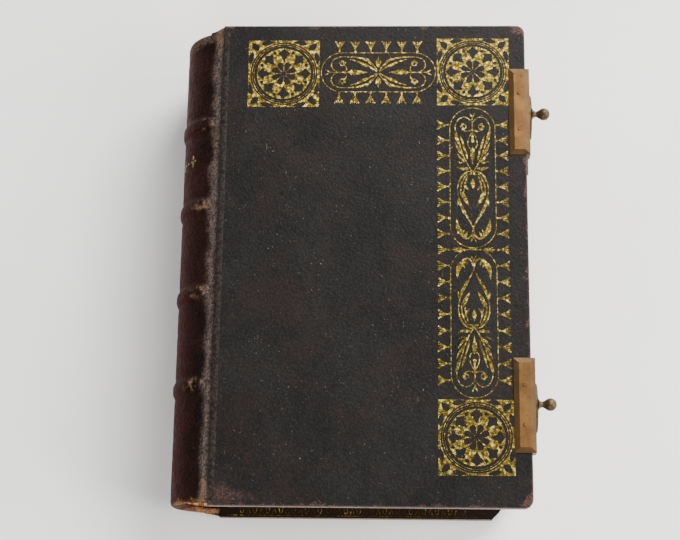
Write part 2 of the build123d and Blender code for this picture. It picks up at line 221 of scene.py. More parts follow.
def pebbled_goatskin(name):
    """Black-brown goatskin, hand-grained: a fine pebble, a soft sheen, rubbed brown at the edges."""
    material, tree, shader = new_material(name)
    place = place_of(tree, False)
    cloud = grain(tree, place, 16, 4)
    patch = grain(tree, place, 3.2, 5)
    fine = grain(tree, place, 0.55, 4, 0.7)
    skin = blend_colour(tree, ramp(tree, cloud, 0.35, 0.65), paint(SKIN_DARK), paint(SKIN_LIGHT))
    skin = blend_colour(tree, ramp(tree, patch, 0.48, 0.75, 0, 0.4), skin, paint(SKIN_BROWN))
    skin = blend_colour(tree, ramp(tree, fine, 0.45, 0.75, 0, 0.5), skin, paint(SKIN_GREY))

    bloom = ramp(tree, grain(tree, place, 11, 5, 0.65, 0.6), 0.46, 0.66, 0, 0.55)
    skin = blend_colour(tree, bloom, skin, paint("#231614"))

    nearest, to_fore, ends, parts = edge_nearness(tree, place)
    rub_noise = grain(tree, place, 2.4, 6, 0.7)
    speck = grain(tree, place, 0.35, 3, 0.7)
    bare = blend_colour(tree, ramp(tree, speck, 0.4, 0.7), paint(BARE_DARK), paint(BARE_LIGHT))

    # the edges are rubbed here and there, the corners of the fore-edge nearly everywhere
    reach = ramp(tree, rub_noise, 0.50, 0.76, -0.1 * MM, 2.0 * MM)
    rubbed = ramp(tree, combine(tree, nearest, reach, "SUBTRACT"), 0.0, 0.4 * MM, 0.6, 0.0)
    corner_reach = ramp(tree, rub_noise, 0.3, 0.7, 1.5 * MM, 5.5 * MM)
    corner_rub = ramp(
        tree,
        combine(tree, combine(tree, to_fore, ends), corner_reach, "SUBTRACT"),
        -1.2 * MM,
        0.6 * MM,
        0.9,
        0.0,
    )
    # the corner between joint and tail is scuffed pink
    to_tail = combine(tree, parts["Y"], TAIL_Y + 2.2 * MM, "SUBTRACT")
    to_joint = combine(tree, parts["X"], JOINT_X + 3.4 * MM, "SUBTRACT")
    along = combine(tree, size_of(tree, to_joint), 0.4, "MULTIPLY")
    spread = combine(tree, along, size_of(tree, to_tail))
    scuff = ramp(
        tree,
        combine(tree, spread, combine(tree, rub_noise, 6.5 * MM, "MULTIPLY"), "SUBTRACT"),
        -3.0 * MM,
        0.6 * MM,
        0.45,
        0.0,
    )
    worn = combine(tree, combine(tree, rubbed, corner_rub, "MAXIMUM"), scuff, "MAXIMUM")
    worn = combine(tree, worn, ramp(tree, speck, 0.30, 0.55, 0.35, 1.0), "MULTIPLY")
    skin = blend_colour(tree, worn, skin, bare)

    # the narrow edge faces have lost their black altogether
    normal = node(tree, "ShaderNodeNewGeometry").outputs["Normal"]
    flat = size_of(tree, axes_of(tree, normal)["Z"])
    level = parts["Z"]
    inner = combine(
        tree,
        ramp(tree, level, (FRONT_INNER - 0.1) * MM, (FRONT_TOP - 0.9) * MM, 1.0, 0.0),
        ramp(tree, level, 0.9 * MM, (BACK_INNER + 0.1) * MM, 0.0, 1.0),
        "MULTIPLY",
    )
    edge_share = combine(tree, ramp(tree, flat, 0.1, 0.35, 1.0, 0.0), inner, "MULTIPLY")
    edge_share = combine(tree, edge_share, ramp(tree, fine, 0.30, 0.55, 0.25, 1.0), "MULTIPLY")
    skin = blend_colour(tree, edge_share, skin, paint("#A98C74"))

    # the turn-ins inside the covers never saw light or hands: warm dark brown
    inside = combine(
        tree,
        ramp(tree, level, (BACK_INNER - 0.06) * MM, (BACK_INNER - 0.02) * MM),
        ramp(tree, level, (FRONT_INNER + 0.02) * MM, (FRONT_INNER + 0.06) * MM, 1.0, 0.0),
        "MULTIPLY",
    )
    skin = blend_colour(tree, inside, skin, paint("#170A04"))

    # pin-pricks of pale dust caught in the grain, and hair scratches
    pricks = ramp(tree, grain(tree, place, 0.45, 2, 0.6), 0.675, 0.745, 0, 0.8)
    gathered = ramp(tree, grain(tree, place, 7, 4, 0.7), 0.42, 0.66, 0.08, 1.0)
    pricks = combine(tree, pricks, gathered, "MULTIPLY")
    marks = scratches(tree, place, 32, 0.5)
    marks = combine(tree, marks, scratches(tree, place, -58, 0.45), "MAXIMUM")
    marks = combine(tree, marks, ramp(tree, patch, 0.5, 0.65, 0, 0.5), "MULTIPLY")
    skin = blend_colour(tree, combine(tree, pricks, marks, "MAXIMUM"), skin, paint("#8A8076"))

    pebble = pebble_pattern(tree, place, 0.5)
    # painted shade: the skin is darkened in the creases between the pebbles, where the relief below
    # sinks them
    skin = blend_colour(tree, ramp(tree, pebble, 0.1, 0.75, 0.0, 0.5), skin, paint("#060505"))
    hollow = relief(tree, cloud, 0.12, 0.5)
    surface = {
        "Base Color": skin,
        "Roughness": ramp(tree, patch, 0.3, 0.7, 0.52, 0.58),
        "Specular IOR Level": SKIN_SHEEN,
        "Normal": relief(tree, pebble, 0.5, 0.12, hollow, sunk=True),
    }
    feed(tree, shader, surface)
    return material


def spine_goatskin(name):
    """The same skin on the spine, handled for years: red-brown, rubbed by the joints, with a painted
    highlight greying it along them.
    """
    material, tree, shader = new_material(name)
    place = place_of(tree, True)
    parts = axes_of(tree, place)
    cloud = grain(tree, place, 7, 5, 0.6)
    patch = grain(tree, place, 1.8, 5, 0.65)
    speck = grain(tree, place, 0.3, 3, 0.7)
    skin = blend_colour(tree, ramp(tree, cloud, 0.35, 0.68), paint("#1C100C"), paint("#2E1A14"))
    skin = blend_colour(tree, ramp(tree, patch, 0.52, 0.72, 0, 0.6), skin, paint("#33241E"))

    # the middle of the spine is tinted oxblood, away from the joints; towards the joints the skin is
    # painted grey, partly rubbed leather and partly a painted highlight
    height = size_of(tree, combine(tree, parts["Z"], (FRONT_TOP / 2) * MM, "SUBTRACT"))
    oxblood = ramp(tree, height, 6.0 * MM, 11.5 * MM, 0.92, 0.0)
    skin = blend_colour(tree, oxblood, skin, paint("#3E0B05"))
    wavering = combine(tree, height, combine(tree, cloud, 2 * MM, "MULTIPLY"))
    joint_rub_and_sheen = ramp(tree, wavering, 12.6 * MM, 13.9 * MM)
    past_ridge = ramp(tree, parts["X"], JOINT_X - 0.8 * MM, JOINT_X + 0.6 * MM, 1.0, 0.6)
    on_board = ramp(tree, parts["X"], JOINT_X - 0.4 * MM, JOINT_X + 1.3 * MM, 1.0, 0.0)
    # painted highlight: the grey laid along the joint is partly rubbed leather and partly painted sheen
    # on the joint ridge
    rubbed = combine(tree, joint_rub_and_sheen, ramp(tree, speck, 0.40, 0.62, 0.2, 1.0), "MULTIPLY")
    rubbed = combine(tree, rubbed, ramp(tree, patch, 0.35, 0.62, 0.45, 1.0), "MULTIPLY")
    rubbed = combine(tree, combine(tree, rubbed, past_ridge, "MULTIPLY"), on_board, "MULTIPLY")
    skin = blend_colour(tree, rubbed, skin, paint("#94827A"))

    # by the joint, the ends are worn down to pinkish tan
    to_head = combine(tree, cover_high.y, parts["Y"], "SUBTRACT")
    to_end = combine(tree, to_head, combine(tree, parts["Y"], TAIL_Y, "SUBTRACT"), "MINIMUM")
    end_noise = combine(tree, patch, 8 * MM, "MULTIPLY")
    end_rub = ramp(tree, combine(tree, to_end, end_noise, "SUBTRACT"), 0.5 * MM, 3.0 * MM, 0.8, 0.0)
    end_rub = combine(tree, end_rub, ramp(tree, height, 11.8 * MM, 12.8 * MM), "MULTIPLY")
    end_rub = combine(tree, end_rub, ramp(tree, speck, 0.35, 0.6, 0.2, 1.0), "MULTIPLY")
    skin = blend_colour(tree, combine(tree, end_rub, on_board, "MULTIPLY"), skin, paint("#9C7A62"))

    # the bands are painted tan where they meet the joints: partly rubbed leather, partly a painted
    # highlight on their crests
    crest = node(tree, "ShaderNodeAttribute", attribute_name="band_height").outputs["Fac"]
    crest_side = ramp(tree, height, 8.5 * MM, 11.5 * MM, 0.12, 1.0)
    crest_rub_and_highlight = combine(tree, crest, ramp(tree, patch, 0.46, 0.66), "MULTIPLY")
    crest_rub_and_highlight = combine(tree, crest_rub_and_highlight, crest_side, "MULTIPLY")
    skin = blend_colour(tree, crest_rub_and_highlight, skin, paint("#94745C"))

    # the head cap is painted grey-brown along its rim: partly scuffing, partly a painted highlight on
    # the rounded rim
    head_scuff_and_highlight = ramp(tree, combine(tree, to_head, end_noise, "SUBTRACT"), -1.6 * MM, 0.0, 0.7, 0.0)
    head_scuff_and_highlight = combine(tree, head_scuff_and_highlight, ramp(tree, speck, 0.38, 0.6), "MULTIPLY")
    skin = blend_colour(tree, head_scuff_and_highlight, skin, paint("#7A6654"))

    # bare tan leather at the tail cap
    to_tail = combine(tree, parts["Y"], TAIL_Y, "SUBTRACT")
    tail_noise = combine(tree, grain(tree, place, 2.5, 5, 0.7), 7 * MM, "MULTIPLY")
    bare = ramp(tree, combine(tree, to_tail, tail_noise, "SUBTRACT"), -3.4 * MM, -1.5 * MM, 1.0, 0.0)
    bare = combine(tree, bare, ramp(tree, height, 3 * MM, 8 * MM, 0.25, 1.0), "MULTIPLY")
    tan = blend_colour(tree, ramp(tree, speck, 0.35, 0.7), paint("#6A4422"), paint("#AC8252"))
    skin = blend_colour(tree, combine(tree, bare, on_board, "MULTIPLY"), skin, tan)

    # past the ridge the skin is the board's own black again
    skin = blend_colour(tree, combine(tree, 1.0, on_board, "SUBTRACT"), skin, paint("#2E2A27"))

    pebble = pebble_pattern(tree, place, 0.55)
    # painted shade: the skin is darkened in the creases between the pebbles, where the relief below
    # sinks them
    skin = blend_colour(tree, ramp(tree, pebble, 0.1, 0.75, 0.0, 0.6), skin, paint("#080403"))
    hollow = relief(tree, patch, 0.4, 0.3)
    surface = {
        "Base Color": skin,
        "Roughness": ramp(tree, patch, 0.3, 0.7, 0.42, 0.58),
        "Specular IOR Level": SPINE_SHEEN,
        "Normal": relief(tree, pebble, 0.7, 0.18, hollow, sunk=True),
    }
    feed(tree, shader, surface)
    return material


def tooled_gold_leaf(name, kept_from, kept_to):
    """Gold leaf pressed into leather with hot tools: bright where it took, rubbed through between; its
    palest flecks are painted glints.
    """
    material, tree, shader = new_material(name)
    place = place_of(tree, False)
    fine = grain(tree, place, 0.33, 4, 0.75)
    broad = grain(tree, place, 4.0, 4, 0.6)
    kept = combine(tree, fine, combine(tree, broad, 0.55, "MULTIPLY"))
    # hands wear the gold most near the fore-edge
    handled = ramp(tree, axes_of(tree, place)["X"], JOINT_X + 30 * MM, JOINT_X + 68 * MM, 0.0, 0.045)
    kept = combine(tree, kept, handled, "SUBTRACT")
    share = ramp(tree, kept, kept_from, kept_to)
    # the gold's own tone runs from dark to mid gold; the palest flecks laid over it are painted glints
    # of light
    gold_tone_and_glints = grain(tree, place, 0.85, 3, 0.7)
    gold = blend_colour(tree, ramp(tree, gold_tone_and_glints, 0.36, 0.52), paint(GOLD_DARK), paint(GOLD_MID))
    gold = blend_colour(tree, ramp(tree, gold_tone_and_glints, 0.50, 0.64), gold, paint(GOLD_GLINT))
    colour = blend_colour(tree, share, paint("#1E160A"), gold)
    surface = {
        "Base Color": colour,
        "Metallic": ramp(tree, share, 0, 1, 0.0, 0.9),
        "Specular IOR Level": SKIN_SHEEN,
        "Roughness": ramp(tree, fine, 0.3, 0.7, 0.5, 0.34),
        "Normal": relief(tree, fine, 0.8, 0.1),
    }
    feed(tree, shader, surface)
    return material


def page_faces(name):
    """Thin rag paper, toned by age, with foxing; nothing is printed on it."""
    material, tree, shader = new_material(name)
    place = place_of(tree, True)
    tone = blend_colour(
        tree, ramp(tree, grain(tree, place, 22, 4), 0.3, 0.7), paint("#E3D6B6"), paint("#EFE6CD")
    )
    spots = ramp(tree, grain(tree, place, 3.0, 3), 0.68, 0.78, 0, 0.5)
    tone = blend_colour(tree, spots, tone, paint("#B48A58"))
    fibre = grain(tree, place, 0.25, 4, 0.7)
    surface = {
        "Base Color": tone,
        "Roughness": 0.85,
        "Normal": relief(tree, fibre, 0.2, 0.05),
    }
    feed(tree, shader, surface)
    return material


def gilt_leaf_edges(name, remembered, own_faces=False):
    """Edges of the leaves, gilded in the press and burnished.

    Fine lines stand for the leaves, but not one line for each."""
    material, tree, shader = new_material(name)
    place = place_of(tree, remembered)
    lines = grain(tree, stretched(tree, place, (0.008, 0.008, 1.0)), 0.16, 2, 0.6)
    wear = ramp(tree, grain(tree, place, 4.0, 5, 0.7), 0.5, 0.72)
    gold = blend_colour(tree, ramp(tree, lines, 0.38, 0.62), paint("#96722F"), paint("#CDA654"))
    colour = blend_colour(tree, combine(tree, wear, 0.7, "MULTIPLY"), gold, paint("#A88A58"))
    metal = ramp(tree, wear, 0, 1, 0.9, 0.35)
    rough = ramp(tree, lines, 0.3, 0.7, 0.42, 0.28)
    if own_faces:
        # one material for the whole sewn block: flat pages above, gilt edges on the sides
        normal = node(tree, "ShaderNodeTexCoord").outputs["Normal"]
        flat = ramp(tree, size_of(tree, axes_of(tree, normal)["Z"]), 0.9, 0.97)
        paper = blend_colour(
            tree, ramp(tree, grain(tree, place, 20, 4), 0.3, 0.7), paint("#E3D6B6"), paint("#EFE6CD")
        )
        colour = blend_colour(tree, flat, colour, paper)
        metal = combine(tree, metal, combine(tree, 1.0, flat, "SUBTRACT"), "MULTIPLY")
        rough = combine(tree, rough, combine(tree, flat, 0.5, "MULTIPLY"))
    surface = {
        "Base Color": colour,
        "Metallic": metal,
        "Roughness": rough,
        "Normal": relief(tree, lines, 0.35, 0.15),
    }
    feed(tree, shader, surface)
    return material


def plain_endpaper(name, remembered=False):
    """Stout cream endpaper, browned towards its edges by the leather."""
    material, tree, shader = new_material(name)
    place = place_of(tree, remembered)
    nearest = edge_nearness(tree, place)[0]
    cloud = grain(tree, place, 9, 5, 0.6)
    tone = blend_colour(tree, ramp(tree, cloud, 0.3, 0.7), paint("#DCCBA6"), paint("#EADFC2"))
    toned_width = ramp(tree, cloud, 0.3, 0.7, 9 * MM, 14 * MM)
    browning = ramp(tree, combine(tree, nearest, toned_width, "SUBTRACT"), -5 * MM, 0, 0.65, 0)
    tone = blend_colour(tree, browning, tone, paint("#A9824F"))
    spots = ramp(tree, grain(tree, place, 2.4, 3), 0.68, 0.78, 0, 0.5)
    tone = blend_colour(tree, spots, tone, paint("#9A7040"))
    fibre = grain(tree, place, 0.3, 4, 0.7)
    surface = {
        "Base Color": tone,
        "Roughness": 0.8,
        "Normal": relief(tree, fibre, 0.25, 0.06),
    }
    feed(tree, shader, surface)
    return material


def rubbed_brass(name, dark="#40280F", mid="#664622", light="#7E5A2E"):
    """Cast brass gone copper-brown: filed once, rubbed smooth, its side faces darkened partly by patina
    and partly by painted shade.
    """
    material, tree, shader = new_material(name)
    place = place_of(tree, False)
    cloud = grain(tree, place, 4, 5, 0.6)
    stain = grain(tree, place, 0.9, 5, 0.7)
    metal = blend_colour(tree, ramp(tree, cloud, 0.35, 0.68), paint(mid), paint(light))
    metal = blend_colour(tree, ramp(tree, stain, 0.54, 0.72, 0, 0.7), metal, paint(dark))
    streaks = grain(tree, stretched(tree, place, (1.0, 0.06, 1.0)), 0.2, 3, 0.7)
    metal = blend_colour(tree, ramp(tree, streaks, 0.5, 0.8, 0, 0.35), metal, paint(dark))
    # the side faces are darkened to olive brown: partly patina, partly painted shade on the faces that
    # are not flat
    normal = node(tree, "ShaderNodeTexCoord").outputs["Normal"]
    flat = size_of(tree, axes_of(tree, normal)["Z"])
    metal = blend_colour(tree, ramp(tree, flat, 0.955, 0.99, 0.7, 0.0), metal, paint("#3A2C16"))
    dents = relief(tree, cloud, 0.3, 0.25)
    surface = {
        "Base Color": metal,
        "Metallic": 0.7,
        "Roughness": ramp(tree, stain, 0.3, 0.7, 0.42, 0.58),
        "Normal": relief(tree, streaks, 0.18, 0.05, dents),
    }
    feed(tree, shader, surface)
    return material


def wound_silk(name):
    """Two colours of silk wound over a core, a turn every millimetre, faded."""
    material, tree, shader = new_material(name)
    place = place_of(tree, False)
    level = axes_of(tree, place)["Z"]

    def wave(length_mm):
        """A wave along the core that repeats after a length."""
        phase = combine(tree, level, 2 * math.pi / (length_mm * MM), "MULTIPLY")
        return node(tree, "ShaderNodeMath", {0: phase}, operation="SINE").outputs[0]

    turns = wave(2.0)
    colour = blend_colour(tree, ramp(tree, turns, -0.15, 0.15), paint("#A5632A"), paint("#D8C39A"))
    dirt = ramp(tree, grain(tree, place, 1.2, 4), 0.4, 0.75, 0, 0.5)
    colour = blend_colour(tree, dirt, colour, paint("#4A2F1A"))
    threads = wave(0.33)
    surface = {
        "Base Color": colour,
        "Roughness": 0.55,
        "Normal": relief(tree, threads, 0.5, 0.1),
    }
    feed(tree, shader, surface)
    return material


def fibrous(name, light, dark, size_mm):
    """Matte material made of fibres: millboard, pasted lining paper or hemp cord."""
    material, tree, shader = new_material(name)
    place = place_of(tree, False)
    clump = grain(tree, place, size_mm, 6, 0.7)
    colour = blend_colour(tree, ramp(tree, clump, 0.3, 0.7), paint(dark), paint(light))
    surface = {
        "Base Color": colour,
        "Roughness": 0.9,
        "Normal": relief(tree, clump, 0.5, 0.15),
    }
    feed(tree, shader, surface)
    return material


def floor_paper(name):
    """Seamless studio paper, near white."""
    material, tree, shader = new_material(name)
    place = place_of(tree, False)
    tone = ramp(tree, grain(tree, place, 60, 3), 0.3, 0.7)
    colour = blend_colour(tree, tone, paint("#F1EFEC"), paint("#F6F5F3"))
    surface = {
        "Base Color": colour,
        "Roughness": 0.9,
    }
    feed(tree, shader, surface)
    return material


cover_skin = pebbled_goatskin("pebbled_black_goatskin")
spine_skin = spine_goatskin("handled_brown_goatskin")
gold_leaf = tooled_gold_leaf("tooled_gold_leaf", 0.58, 0.80)
dull_gold_leaf = tooled_gold_leaf("rubbed_gold_leaf", 0.72, 1.06)
leaf_faces = page_faces("aged_rag_paper")
leaf_edges = gilt_leaf_edges("gilt_leaf_edges", True)
block_finish = gilt_leaf_edges("gilt_sewn_block", False, own_faces=True)
endpaper = plain_endpaper("cream_endpaper")
endpaper_bending = plain_endpaper("cream_flyleaf", True)
clasp_brass = rubbed_brass("rubbed_copper_toned_brass")
knob_brass = rubbed_brass("handled_brass_knob", "#2A2010", "#524228", "#766242")
pin_brass = rubbed_brass("drawn_brass_wire", "#3E260E", "#644420", "#80592A")
silk = wound_silk("wound_faded_silk")
millboard = fibrous("grey_millboard", "#A39A86", "#7C7262", 0.8)
lining_paper = fibrous("pasted_lining_paper", "#B9A67F", "#8E7A56", 1.5)
hemp = fibrous("hemp_sewing_cord", "#B59A6A", "#7A6240", 0.3)

NODE_FINISHES = {
    cover_skin: ("front_leather", "back_leather"),
    spine_skin: ("spine_leather",),
    millboard: ("front_board", "back_board"),
    endpaper: ("front_pastedown", "back_pastedown", "front_flyleaf", "back_flyleaf"),
    block_finish: ("text_block", "first_leaves", "second_leaves", "third_leaves", "fourth_leaves"),
    lining_paper: ("spine_lining",),
    hemp: ("sewing_cords",),
    silk: ("head_band", "tail_band"),
    clasp_brass: (
        "upper_catch_plate", "lower_catch_plate", "upper_hinge_plate", "lower_hinge_plate",
    ),
    knob_brass: (
        "upper_clasp_arm", "lower_clasp_arm", "upper_clasp_knob", "lower_clasp_knob",
    ),
    pin_brass: ("catch_rivets", "hinge_rivets", "upper_hinge_pin", "lower_hinge_pin"),
}
for finish, names in NODE_FINISHES.items():
    for name in names:
        slots = frame["nodes"][name].data.materials
        slots.clear()
        slots.append(finish)


# ------------------------------------------------------------------ making pieces
def nothing_selected():
    """Leave edit mode and deselect everything."""
    if bpy.context.mode != "OBJECT":
        bpy.ops.object.mode_set(mode="OBJECT")
    bpy.ops.object.select_all(action="DESELECT")


def remember_place(piece):
    """Keep each point's place at rest, for patterns on a piece that bends."""
    kept = piece.data.attributes.new("rest_place", "FLOAT_VECTOR", "POINT")
    kept.data.foreach_set("vector", [c for v in piece.data.vertices for c in v.co])


def work_on(piece):
    """Make a piece the only one selected."""
    nothing_selected()
    piece.select_set(True)
    bpy.context.view_layer.objects.active = piece


def apply_all(piece):
    """Apply the modifiers of a piece in order."""
    work_on(piece)
    for modifier in list(piece.modifiers):
        bpy.ops.object.modifier_apply(modifier=modifier.name)


def shade_round(piece, angle_deg=35):
    """Smooth shading, with edges sharper than the angle kept."""
    work_on(piece)
    bpy.ops.object.shade_smooth_by_angle(angle=math.radians(angle_deg))


def sheet_over(name, across, along, place):
    """A grid of skin whose points place(i, j) gives in the frame, i across and j along."""
    nothing_selected()
    bpy.ops.mesh.primitive_grid_add(x_subdivisions=across - 1, y_subdivisions=along - 1, size=2)
    piece = bpy.context.object
    piece.name = name
    for vertex in piece.data.vertices:
        i = round((vertex.co.x + 1) / 2 * (across - 1))
        j = round((vertex.co.y + 1) / 2 * (along - 1))
        vertex.co = place(i, j)
    return piece


# ------------------------------------------------------------------ spine
spine_low, spine_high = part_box("spine_leather")
BAND_PLACES = (27.6, 49.4, 70.6, 90.9)
BAND_PROUD = 0.5
BAND_HALF = 1.5
GROOVE_DEPTH = 0.10
GROOVE_PLACE = 2.3
GROOVE_HALF = 0.6
BAND_FADE_DEG = 7
SKIN_WANDER = 0.05
SKIN_THICKNESS = 0.35
CAP_LENGTH = 1.4
STEPS_ALONG = 190
STEPS_AROUND = 72
JOINT_STEPS = 150
JOINT_REACH_DEG = 15
JOINT_INSET = 0.35
JOINT_TAPER = 0.45
JOINT_END_LENGTH = 1.5
JOINT_END_DROP = 0.5
SPINE_RADIUS = 12.95
SPINE_CENTRE_X = (spine_low.x - JOINT_X) / MM + SPINE_RADIUS + BAND_PROUD
SPINE_CENTRE_Z = FRONT_TOP / 2
SPINE_START = math.radians(104.9)
SPINE_TAIL = (spine_low.y - TAIL_Y) / MM
SPINE_HEAD = (spine_high.y - TAIL_Y) / MM


def band_rise(y):
    """Share of a band's full height at a distance from the tail."""
    return max(math.exp(-(((y - band) / BAND_HALF) ** 4)) for band in BAND_PLACES)


def spine_profile():
    """Pairs of y and the change of radius there, with rolled caps at both ends."""
    cap = [(1.0, -3.3), (0.6, -2.6), (0.2, -1.5), (0.05, -0.7), (0.35, -0.18), (1.0, 0.0)]
    tail, head = SPINE_TAIL + CAP_LENGTH, SPINE_HEAD - CAP_LENGTH
    body = [(tail + (head - tail) * i / STEPS_ALONG, 0.0) for i in range(STEPS_ALONG + 1)]
    start = [(SPINE_TAIL + dy, dr) for dy, dr in cap]
    end = [(SPINE_HEAD - dy, dr) for dy, dr in reversed(cap)]
    return start + body + end


def make_spine():
    """The leather over the spine: a half tube with four raised bands and rolled caps."""
    profile = spine_profile()
    spine_end = 2 * math.pi - SPINE_START

    def place(i, j):
        """Point i around the spine and j along it."""
        angle = SPINE_START + (spine_end - SPINE_START) * i / STEPS_AROUND
        y, drop = profile[j]
        from_side = math.degrees(min(angle - SPINE_START, spine_end - angle))
        fade = min(1.0, from_side / BAND_FADE_DEG)
        rise = BAND_PROUD * band_rise(y) * fade if drop == 0.0 else 0.0
        to_band = min(abs(y - band) for band in BAND_PLACES)
        groove = GROOVE_DEPTH * math.exp(-(((to_band - GROOVE_PLACE) / GROOVE_HALF) ** 2))
        wander = SKIN_WANDER * math.sin(y * 0.9 + 3 * angle) * math.sin(y * 0.37 + 1.3)
        radius = SPINE_RADIUS + drop + rise - groove * fade + min(0.0, wander)
        return spot(
            SPINE_CENTRE_X + radius * math.cos(angle), y, SPINE_CENTRE_Z + radius * math.sin(angle)
        )

    piece = sheet_over("spine_skin", STEPS_AROUND + 1, len(profile), place)
    work_on(piece)
    bpy.ops.object.mode_set(mode="EDIT")
    bpy.ops.mesh.select_all(action="SELECT")
    bpy.ops.mesh.normals_make_consistent(inside=False)
    bpy.ops.object.mode_set(mode="OBJECT")
    outward = piece.data.polygons[len(piece.data.polygons) // 2]
    if outward.normal.x > 0:
        piece.data.flip_normals()
    solid = piece.modifiers.new("skin_thickness", "SOLIDIFY")
    solid.thickness = SKIN_THICKNESS * MM
    solid.offset = -1
    apply_all(piece)
    shade_round(piece, 60)
    remember_place(piece)
    height = piece.data.attributes.new("band_height", "FLOAT", "POINT")
    values = []
    for vertex in piece.data.vertices:
        y = (vertex.co.y - TAIL_Y) / MM
        values.append(band_rise(y) ** 2 if SPINE_TAIL + 2 < y < SPINE_HEAD - 2 else 0.0)
    height.data.foreach_set("value", values)
    piece.data.materials.append(spine_skin)
    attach(piece, "book_block")
    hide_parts("spine_leather")
    return piece


def make_joint(name, front):
    """The leather that flexes along a joint, from the spine over the ridge on to the board."""
    start = SPINE_START + math.radians(JOINT_REACH_DEG)
    on_spine = [
        (
            SPINE_CENTRE_X + (SPINE_RADIUS + lift) * math.cos(start - math.radians(turn)),
            SPINE_CENTRE_Z + (SPINE_RADIUS + lift) * math.sin(start - math.radians(turn)),
        )
        for turn, lift in ((0, -0.15), (1.5, -0.02), (4, 0.06), (7, 0.14), (10, 0.28))
    ]
    ridge = [(-0.75, 26.95), (-0.4, 27.28), (-0.05, 27.58), (0.3, 27.83), (0.65, 28.0)]
    on_board = [(1.0, 28.08), (1.4, 28.09), (1.8, 28.05), (2.2, 27.9)]
    profile = on_spine + ridge + on_board

    def place(i, j):
        """Point i over the joint and j along it; the ends are drawn in and rounded down."""
        x, z = profile[i]
        inset = JOINT_INSET + JOINT_TAPER * max(0.0, 1 - i / 9)
        y = inset + (COVER_LENGTH - 2 * inset) * j / JOINT_STEPS
        ends = min(1.0, min(y, COVER_LENGTH - y) / JOINT_END_LENGTH)
        z = z - JOINT_END_DROP * (1 - ends) ** 2
        if not front:
            z = max(FRONT_TOP - z, 0.0)
        return spot(x, y, z)

    piece = sheet_over(name, len(profile), JOINT_STEPS + 1, place)
    outer = piece.data.polygons[len(piece.data.polygons) // 2]
    if (outer.normal.z > 0) != front:
        piece.data.flip_normals()
    solid = piece.modifiers.new("skin_thickness", "SOLIDIFY")
    solid.thickness = SKIN_THICKNESS * MM
    solid.offset = -1
    apply_all(piece)
    shade_round(piece, 60)
    remember_place(piece)
    piece.data.materials.append(spine_skin)
    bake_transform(piece)
    return piece


make_spine()
make_joint("front_joint_skin", True)
make_joint("back_joint_skin", False)


# ------------------------------------------------------------------ leaves that turn
BEND_CUTS = 24
PAGE_CUTS = 10
LENGTH_CUTS = 12


def make_leaves(node_name, bend, faces, edges):
    """A stack of leaves that bends up from its fold line as it turns."""
    low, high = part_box(node_name)
    nothing_selected()
    bpy.ops.mesh.primitive_cube_add(size=1, location=(low + high) / 2)
    piece = bpy.context.object
    piece.name = node_name + "_paper"
    piece.scale = high - low
    bpy.ops.object.transform_apply(location=True, rotation=False, scale=True)
    bpy.ops.object.mode_set(mode="EDIT")
    bpy.ops.mesh.select_all(action="SELECT")
    # close cuts where the leaves bend, wide ones over the flat page
    cuts = [low.x + bend * (i / BEND_CUTS) for i in range(1, BEND_CUTS)]
    page = high.x - low.x - bend
    cuts += [low.x + bend + page * i / PAGE_CUTS for i in range(PAGE_CUTS)]
    for x in cuts:
        bpy.ops.mesh.select_all(action="SELECT")
        bpy.ops.mesh.bisect(plane_co=(x, 0, 0), plane_no=(1, 0, 0))
    for j in range(1, LENGTH_CUTS):
        bpy.ops.mesh.select_all(action="SELECT")
        y = low.y + (high.y - low.y) * j / LENGTH_CUTS
        bpy.ops.mesh.bisect(plane_co=(0, y, 0), plane_no=(0, 1, 0))
    bpy.ops.object.mode_set(mode="OBJECT")
    # the hollow of the fore-edge: the end of the stack follows an arc through its height
    for vertex in piece.data.vertices:
        if vertex.co.x > high.x - 1e-6:
            vertex.co.x = fore_edge_at(vertex.co.z)
    piece.data.materials.append(faces)
    piece.data.materials.append(edges)
    for polygon in piece.data.polygons:
        polygon.material_index = 0 if abs(polygon.normal.z) > 0.8 else 1
    remember_place(piece)
    y = (low.y + high.y) / 2
    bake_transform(piece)
    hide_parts(node_name)
    return piece


block_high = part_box("text_block")[1]
FORE_EDGE_HOLLOW = 4.5
BLOCK_HALF = (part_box("front_flyleaf")[1].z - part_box("back_flyleaf")[0].z) / 2


def fore_edge_at(z):
    """x of the hollow fore-edge at a height, on an arc through the block's top and bottom."""
    middle = FRONT_TOP * MM / 2
    hollow = FORE_EDGE_HOLLOW * MM
    radius = (BLOCK_HALF**2 + hollow**2) / (2 * hollow)
    centre = block_high.x - hollow + radius
    return centre - math.sqrt(max(radius**2 - (z - middle) ** 2, 0.0))


LEAF_BEND = 7 * MM
make_leaves("front_flyleaf", LEAF_BEND, endpaper_bending, endpaper_bending)
for order, name in enumerate(("first_leaves", "second_leaves", "third_leaves", "fourth_leaves"), 1):
    make_leaves(name, LEAF_BEND, leaf_faces, leaf_edges)


